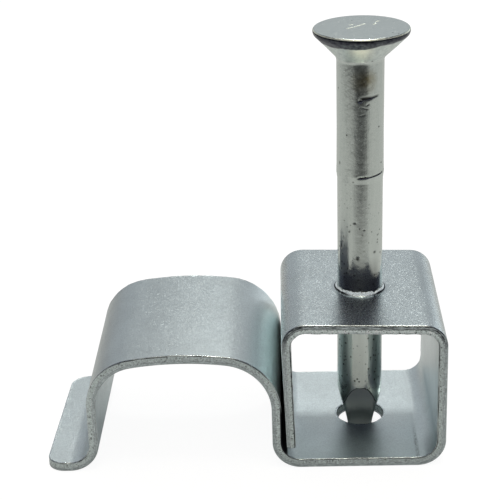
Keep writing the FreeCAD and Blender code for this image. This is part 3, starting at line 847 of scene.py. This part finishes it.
class Blank:
    """the strip before it is folded: X along it, Y across it, Z up from its wall side"""

    def __init__(self, stations, columns, shifts):
        self.stations = stations
        self.columns = columns
        self.shifts = shifts
        self.mesh = bmesh.new()
        layers = self.mesh.verts.layers
        self.burr, self.depth, self.run = (
            layers.float.new(name) for name in ("burr", "depth", "run"))
        self.torn, self.shift = (layers.float_vector.new(name) for name in ("torn", "shift"))
        self.sheared = self.mesh.faces.layers.int.new("sheared")

    def vertex(self, flat, height, burr=0.0, torn=(0, 0, 0)):
        """a vertex, with all that the fold and the materials read from it"""
        made = self.mesh.verts.new((flat[0], flat[1], height))
        made[self.burr] = burr
        made[self.depth] = height / THICKNESS
        made[self.run] = flat[0]
        made[self.torn] = torn
        made[self.shift] = self.shifts(flat[0])
        return made

    def ring(self, first, second, sheared=0):
        """a closed band of faces between two loops of vertices"""
        for i in range(len(first)):
            face = self.mesh.faces.new((first[i - 1], first[i], second[i], second[i - 1]))
            face[self.sheared] = sheared

    def cut_edge(self, loop, profile_at):
        """leads a cut profile round a closed loop of (point, outward direction), and returns
        its rows of vertices on the burr side and on the rolled side"""
        columns = []
        for point, out in loop:
            columns.append([
                self.vertex(point - out * inward, height, burr, (out * torn).to_3d())
                for inward, height, burr, torn in profile_at(out)])
        rows = list(zip(*columns))
        for i, (first, second) in enumerate(zip(rows, rows[1:])):
            self.ring(first, second, sheared=int(CUT_FROM <= i < CUT_TO))
        return list(rows[0]), list(rows[-1])

    def outline(self):
        """the blank's own edge, anticlockwise from the foot's near side"""
        along = self.stations
        far = along[-1] + LEG_CORNER
        leg_y = HALF_WIDTH - LEG_CORNER
        near_y = HALF_WIDTH - FOOT_NEAR_CORNER
        far_y = HALF_WIDTH - FOOT_FAR_CORNER
        foot_across = [-near_y] + [y for y in self.columns if -near_y < y < far_y] + [far_y]

        def side(points, out):
            return [(Vector(p), Vector(out)) for p in points]

        def corner(centre, radius, begin):
            angles = [begin + QUARTER * i / CORNER_STEPS for i in range(1, CORNER_STEPS)]
            outs = [Vector((math.cos(a), math.sin(a))) for a in angles]
            return [(Vector(centre) + out * radius, out) for out in outs]

        def foot_x(y):
            return FOOT_SKEW * (y + HALF_WIDTH) / (2 * HALF_WIDTH)

        near_x = foot_x(-near_y) + FOOT_NEAR_CORNER
        far_x = foot_x(far_y) + FOOT_FAR_CORNER
        return (
            side([(near_x, -HALF_WIDTH)], (0, -1))
            + side([(s, -HALF_WIDTH) for s in along], (0, -1))
            + corner((along[-1], -leg_y), LEG_CORNER, -QUARTER)
            + side([(far, y) for y in self.columns], (1, 0))
            + corner((along[-1], leg_y), LEG_CORNER, 0)
            + side([(s, HALF_WIDTH) for s in reversed(along)], (0, 1))
            + corner((far_x, far_y), FOOT_FAR_CORNER, QUARTER)
            + side([(foot_x(y), y) for y in reversed(foot_across)], (-1, 0))
            + corner((near_x, -near_y), FOOT_NEAR_CORNER, math.pi)
        )

    def field(self, centre):
        """the grid cells that a hole replaces: their first and last station and column"""
        stations = [i for i, s in enumerate(self.stations) if abs(s - centre) <= HOLE_FIELD]
        columns = [j for j, y in enumerate(self.columns) if abs(y) <= HOLE_FIELD + ROUNDING]
        return stations[0], stations[-1], columns[0], columns[-1]

    def field_border(self, field):
        """the grid places round a field, anticlockwise"""
        first, last, low, high = field
        return (
            [(i, low) for i in range(first, last)]
            + [(last, j) for j in range(low, high)]
            + [(i, high) for i in range(last, first, -1)]
            + [(first, j) for j in range(high, low, -1)]
        )

    def plate(self, height, rim, holes):
        """one face of the strip, between the outline's rim and the rims of its holes"""
        grid = [[self.vertex((s, y), height) for y in self.columns] for s in self.stations]
        fields = [field for field, _ in holes]
        for i in range(len(grid) - 1):
            for j in range(len(self.columns) - 1):
                inside = any(a <= i < b and c <= j < d for a, b, c, d in fields)
                if not inside:
                    self.mesh.faces.new((
                        grid[i][j], grid[i + 1][j], grid[i + 1][j + 1], grid[i][j + 1]))
        # the foot's end, from its rounded corners to the first station, is one face
        foot = [v for v in rim[2:] if v.co.x < self.stations[0] + MERGE_REACH]
        self.mesh.faces.new(foot + rim[:2] + grid[0][1:-1])
        for field, hole_rim in holes:
            border = [grid[i][j] for i, j in self.field_border(field)]
            outer = border
            for share in FIELD_RINGS:
                inner = [
                    self.vertex(b.co.lerp(h.co, share).xy, height)
                    for b, h in zip(border, hole_rim)]
                self.ring(outer, inner)
                outer = inner
            self.ring(outer, hole_rim)

    def closed_mesh(self, hole_centres):
        """sheared edges, both faces and the holes, as one closed mesh"""
        punched_edge = sheared_profile(HOLE_ROLL, HOLE_TAPER)
        upper_rim, lower_rim = self.cut_edge(self.outline(), outline_profile)
        upper_holes, lower_holes = [], []
        for centre, profile_at in zip(hole_centres, (lambda out: punched_edge, lip_profile)):
            field = self.field(centre)
            middle = Vector((centre, 0))
            loop = []
            for i, j in self.field_border(field):
                inward = (Vector((self.stations[i], self.columns[j])) - middle).normalized()
                loop.append((middle + inward * HOLE_RADIUS, -inward))
            upper, lower = self.cut_edge(loop, profile_at)
            upper_holes.append((field, upper))
            lower_holes.append((field, lower))
        self.plate(THICKNESS, upper_rim, upper_holes)
        self.plate(0, lower_rim, lower_holes)
        # the grid loses the vertices that its fields left loose, and joins the rims
        loose = [v for v in self.mesh.verts if not v.link_faces]
        bmesh.ops.delete(self.mesh, geom=loose, context="VERTS")
        bmesh.ops.remove_doubles(self.mesh, verts=self.mesh.verts, dist=MERGE_REACH)
        bmesh.ops.recalc_face_normals(self.mesh, faces=self.mesh.faces)
        flat = bpy.data.meshes.new("blank")
        self.mesh.to_mesh(flat)
        self.mesh.free()
        return flat


def fold_tree(satin, sheared):
    """Geometry Nodes that fold a flat blank along a line: each point goes to its own
    distance along the line, its height above the strip's wall side becomes the offset
    from the line, and the burr and the torn band get their unevenness on the way"""
    tree = bpy.data.node_groups.new("fold_strip", "GeometryNodeTree")
    tree.interface.new_socket("Blank", in_out="INPUT", socket_type="NodeSocketGeometry")
    tree.interface.new_socket("Fold Line", in_out="INPUT", socket_type="NodeSocketObject")
    for name in ("Burr Height", "Burr Grain", "Tear Depth", "Tear Grain", "Seed"):
        tree.interface.new_socket(name, in_out="INPUT", socket_type="NodeSocketFloat")
    tree.interface.new_socket("Strip", in_out="OUTPUT", socket_type="NodeSocketGeometry")
    given = add_node(tree, "NodeGroupInput").outputs
    place = add_node(tree, "GeometryNodeInputPosition")
    flat = add_node(tree, "ShaderNodeSeparateXYZ", {0: place}).outputs

    burr_share, torn, far_shift, is_cut = (
        add_node(tree, "GeometryNodeInputNamedAttribute", {"Name": layer}, data_type=kind)
        for layer, kind in (
            ("burr", "FLOAT"), ("torn", "FLOAT_VECTOR"), ("shift", "FLOAT_VECTOR"),
            ("sheared", "INT")))

    def uneven(grain):
        """noise with blobs of this size, over the flat blank"""
        scale = add_node(tree, "ShaderNodeMath", {0: 1.0, 1: grain}, operation="DIVIDE")
        return add_node(tree, "ShaderNodeTexNoise", {
            "Vector": place, "W": given["Seed"], "Scale": scale, "Detail": UNEVEN_DETAIL,
        }, noise_dimensions="4D")

    lift = add_node(tree, "ShaderNodeMapRange", {
        "Value": uneven(given["Burr Grain"]), "From Min": BURR_NOISE[0],
        "From Max": BURR_NOISE[1], "To Max": given["Burr Height"]})
    burr = add_node(tree, "ShaderNodeMath", {
        0: lift, 1: burr_share, 2: flat["Z"]}, operation="MULTIPLY_ADD")
    reach = add_node(tree, "ShaderNodeMath", {
        0: given["Tear Depth"], 1: -1.0}, operation="MULTIPLY")
    bite = add_node(tree, "ShaderNodeMapRange", {
        "Value": uneven(given["Tear Grain"]), "From Min": TEAR_NOISE[0],
        "From Max": TEAR_NOISE[1], "To Max": reach})
    tear = add_node(tree, "ShaderNodeVectorMath", {0: torn, "Scale": bite}, operation="SCALE")
    shift = add_node(tree, "ShaderNodeSeparateXYZ", {0: tear}).outputs
    along, across = (
        add_node(tree, "ShaderNodeMath", {0: flat[axis], 1: shift[axis]}, operation="ADD")
        for axis in ("X", "Y"))

    line = add_node(tree, "GeometryNodeObjectInfo", {"Object": given["Fold Line"]})
    sample = add_node(tree, "GeometryNodeSampleCurve", {
        "Curves": line.outputs["Geometry"], "Length": along}, mode="LENGTH").outputs
    tangent = add_node(tree, "ShaderNodeSeparateXYZ", {0: sample["Tangent"]}).outputs
    sunk = add_node(tree, "ShaderNodeMath", {0: tangent["Z"], 1: -1.0}, operation="MULTIPLY")
    out = add_node(tree, "ShaderNodeCombineXYZ", {"X": sunk, "Z": tangent["X"]})
    offset = add_node(tree, "ShaderNodeVectorMath", {0: out, "Scale": burr}, operation="SCALE")
    sideways = add_node(tree, "ShaderNodeCombineXYZ", {"Y": across})
    far = add_node(tree, "ShaderNodeMapRange", {
        "Value": flat["Y"], "From Min": -HALF_WIDTH, "From Max": HALF_WIDTH})
    shifted = add_node(tree, "ShaderNodeVectorMath", {
        0: far_shift, "Scale": far}, operation="SCALE")
    folded = sample["Position"]
    for part in (offset, sideways, shifted):
        folded = add_node(tree, "ShaderNodeVectorMath", {0: folded, 1: part})

    strip = given["Blank"]
    for kind, inputs in (
            ("GeometryNodeSetPosition", {"Position": folded}),
            ("GeometryNodeSetShadeSmooth", {}),
            ("GeometryNodeRealizeInstances", {}),
            ("GeometryNodeSetMaterial", {"Material": satin}),
            ("GeometryNodeSetMaterial", {"Selection": is_cut, "Material": sheared})):
        strip = add_node(tree, kind, {"Geometry": strip, **inputs})
    add_node(tree, "NodeGroupOutput", {"Strip": strip})
    return tree


def made_real(piece, name):
    """the piece with its modifiers worked out, as a plain mesh object of its own"""
    graph = bpy.context.evaluated_depsgraph_get()
    mesh = bpy.data.meshes.new_from_object(piece.evaluated_get(graph))
    mesh.name = name
    real = bpy.data.objects.new(name, mesh)
    scene.collection.objects.link(real)
    bpy.data.objects.remove(piece)
    return real


def line_object(points):
    """the fold line as a curve, for the nodes to measure along"""
    curve = bpy.data.curves.new("fold_line", "CURVE")
    curve.dimensions = "3D"
    spline = curve.splines.new("POLY")
    spline.points.add(len(points) - 1)
    for point, place in zip(spline.points, points):
        point.co = (place.x, 0, place.y, 1)
    line = bpy.data.objects.new("fold_line", curve)
    scene.collection.objects.link(line)
    return line


def blank_grid(reached, hole_centres):
    """the blank's stations, at the fold line's points and halfway between them beside the holes,
    and its columns across"""
    last = reached[-1] - LEG_CORNER
    stations = [FOOT_START] + [
        s for s in reached if FOOT_START + STATION_GAP < s < last - STATION_GAP] + [last]
    halfway = [
        (s + t) / 2 for s, t in zip(stations, stations[1:])
        if any(abs(s - centre) < HOLE_FIELD for centre in hole_centres)]
    stations = sorted(stations + halfway)
    rim_y = HALF_WIDTH - EDGE_MARGIN
    outer = [HOLE_FIELD + (rim_y - HOLE_FIELD) * i / OUTER_STEPS for i in range(1, OUTER_STEPS + 1)]
    inner = [HOLE_FIELD * (2 * j / FIELD_STEPS - 1) for j in range(FIELD_STEPS + 1)]
    return stations, [-y for y in reversed(outer)] + inner + outer


def make_strip():
    points = fold_line()
    reached = distances(points)
    # the nail's axis crosses the line at the bottom plate and again at the top plate
    hole_centres = [
        reached[i] + (after - before).length * before.x / (before.x - after.x)
        for i, (before, after) in enumerate(zip(points, points[1:])) if before.x * after.x < 0]

    def shifts(run):
        """the far edge's shift this far along the strip"""
        after = min(len(reached) - 1, bisect.bisect_left(reached, run))
        return far_edge_shift(points[after], reached[-1] - run)

    stations, columns = blank_grid(reached, hole_centres)
    flat = Blank(stations, columns, shifts).closed_mesh(hole_centres)
    blank = bpy.data.objects.new("blank", flat)
    scene.collection.objects.link(blank)
    line = line_object(points)
    tree = fold_tree(satin_zinc(), sheared_zinc())
    fold = blank.modifiers.new("fold", "NODES")
    fold.node_group = tree
    values = {
        "Fold Line": line, "Burr Height": BURR_HEIGHT, "Burr Grain": BURR_GRAIN,
        "Tear Depth": TEAR_DEPTH, "Tear Grain": TEAR_GRAIN, "Seed": UNEVEN_SEED,
    }
    for socket in tree.interface.items_tree:
        if socket.name in values:
            fold[socket.identifier] = values[socket.name]
    strip = made_real(blank, "folded_strip")
    bpy.data.objects.remove(line)
    for layer in ("torn", "shift", "sheared"):
        strip.data.attributes.remove(strip.data.attributes[layer])
    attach(strip, "root")
    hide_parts("clip")


# Nail

def point_limit(angle, height):
    """how far out the point's four hollow flats let the surface go in a direction"""
    sides = (
        (abs(math.sin(angle)), POINT_LENGTH_FRONT, POINT_HOLLOW_FRONT),
        (abs(math.cos(angle)), POINT_LENGTH_SIDE, POINT_HOLLOW_SIDE),
    )
    total = ROUNDING
    for cosine, length, hollow in sides:
        if height < length:
            flat = POINT_FLAT + (SHANK_RADIUS - POINT_FLAT) * (height / length) ** hollow
            total += (cosine * MM / flat) ** POINT_CORNERS
    return MM * total ** (-1 / POINT_CORNERS)


def die_dents(angle, height):
    """how deep the heading dies dented this spot of the shank, and how dark it has filled"""
    deep, dark = 0.0, 0.0
    for degrees, z, half_length, half_height, depth, rise, darkening in DIE_MARKS:
        turn = (angle + QUARTER - math.radians(degrees) + math.pi) % (2 * math.pi) - math.pi
        u = turn * SHANK_RADIUS / (half_length * MM)
        v = (height - z * MM - rise * turn * SHANK_RADIUS) / (half_height * MM)
        if abs(u) < MARK_ENDS[0] and abs(v) < MARK_ENDS[1]:
            deep += depth * MM * math.exp(-u ** 4 - v ** 2)
            dark_fill = DIRT_DENSITY * math.exp(-u ** 4 - DIRT_FALL * v ** 2)
            dark = max(dark, darkening * min(1.0, dark_fill))
    return deep, dark


def head_dent(place, height):
    """how deep a scratch lies at a place on top of the head"""
    if height < nail_high.z:
        return 0
    deep = 0
    for start, end in HEAD_SCRATCHES:
        start, end = Vector(start) * MM, Vector(end) * MM
        share = (place - start).dot(end - start) / (end - start).length_squared
        near = (place - start.lerp(end, min(1, max(0, share)))).length
        deep = max(deep, SCRATCH_DEPTH * math.exp(-(near / SCRATCH_REACH) ** 2))
    return deep


def nail_outline():
    """the nail's half section as (radius, height), from the point's edge to the head's middle,
    and the height of its neck"""
    top = nail_high.z
    rim_z = top - HEAD_RIM
    swell = [(z * MM, extra * MM) for z, extra in SWELL]
    neck_reach = SHANK_RADIUS + between(swell, rim_z)
    neck_z = rim_z - (HEAD_RADIUS - neck_reach)
    # how far before its corner a bend of 45 degrees begins, for a radius of 1
    bend_start = math.tan(QUARTER / 4)
    marked = [mark[1] * MM for mark in DIE_MARKS]
    outline = []
    z = 0.0
    while z < neck_z - NECK_RADIUS * bend_start:
        outline.append(Vector((SHANK_RADIUS + between(swell, z), z)))
        if z < POINT_LENGTH_FRONT + POINT_STEP:
            z += POINT_STEP
        elif min(abs(z - height) for height in marked) < MARK_REACH:
            z += MARK_STEP
        else:
            z += PLAIN_STEP
    head_arcs = [
        (Vector((neck_reach + NECK_RADIUS, neck_z - NECK_RADIUS * bend_start)),
            NECK_RADIUS, math.pi, 3 * math.pi / 4),
        (Vector((HEAD_RADIUS - RIM_LOWER, rim_z + RIM_LOWER * bend_start)),
            RIM_LOWER, -math.pi / 4, 0),
        (Vector((HEAD_RADIUS - RIM_UPPER, top - RIM_UPPER)), RIM_UPPER, 0, QUARTER),
    ]
    centre = Vector((HEAD_CENTRE, top))
    return outline + lead(outline.pop(), head_arcs, centre, HEAD_STEP, HEAD_TURN), neck_z


def make_nail():
    body = bmesh.new()
    mark, scratch, flare, facet = (
        body.verts.layers.float.new(name) for name in ("mark", "scratch", "flare", "facet"))
    outline, neck_z = nail_outline()
    angles = [2 * math.pi * i / NAIL_SEGMENTS for i in range(NAIL_SEGMENTS)]
    rows = []

    def row(reach, height, share=1.0):
        """the ring of vertices at a height, this far out apart from its dents and flats; a share
        below 1 gives a smaller ring, on the sole"""
        made = []
        for angle in angles:
            deep, dark = die_dents(angle, height)
            limit = point_limit(angle, height) if height < POINT_LENGTH_FRONT else math.inf
            flat = limit < reach - deep
            radius = min(limit, reach - deep)
            if height < POINT_EDGE:
                radius -= POINT_EDGE - math.sqrt(POINT_EDGE ** 2 - (POINT_EDGE - height) ** 2)
            place = Vector((radius * share * math.cos(angle), radius * share * math.sin(angle)))
            dent = head_dent(place, height)
            vertex = body.verts.new((place.x, place.y, height - dent))
            vertex[mark] = dark
            vertex[scratch] = dent / SCRATCH_DEPTH
            vertex[flare] = neck_z < height < nail_high.z - HEAD_RIM
            vertex[facet] = flat
            made.append(vertex)
        return made

    for share in SOLE_RINGS:
        rows.append(row(outline[0].x, 0.0, share))
    for i in range(EDGE_RINGS):
        turn = QUARTER * i / EDGE_RINGS
        rows.append(row(outline[0].x, POINT_EDGE * (1 - math.cos(turn))))
    for point in outline[1:]:
        rows.append(row(point.x, point.y))
    for first, second in zip(rows, rows[1:]):
        for i in range(NAIL_SEGMENTS):
            body.faces.new((first[i - 1], first[i], second[i], second[i - 1]))
    for ring, height in ((rows[0], 0.0), (rows[-1], nail_high.z)):
        centre = body.verts.new((0, 0, height))
        for i in range(NAIL_SEGMENTS):
            body.faces.new((ring[i - 1], ring[i], centre))
    bmesh.ops.recalc_face_normals(body, faces=body.faces)
    for vertex in body.verts:
        struck = min(1, max(0, (vertex.co.z - neck_z) / MM))
        vertex.co.x += NAIL_LEAN * (vertex.co.z - LEAN_FROM) + HEAD_OFFSET * struck
    mesh = bpy.data.meshes.new("headed_nail")
    body.to_mesh(mesh)
    body.free()
    mesh.shade_smooth()
    mesh.materials.append(drawn_zinc())
    nail = bpy.data.objects.new("headed_nail", mesh)
    scene.collection.objects.link(nail)
    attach(nail, "root")
    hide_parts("nail")


make_camera()
make_world()
make_stage()
make_strip()
make_nail()
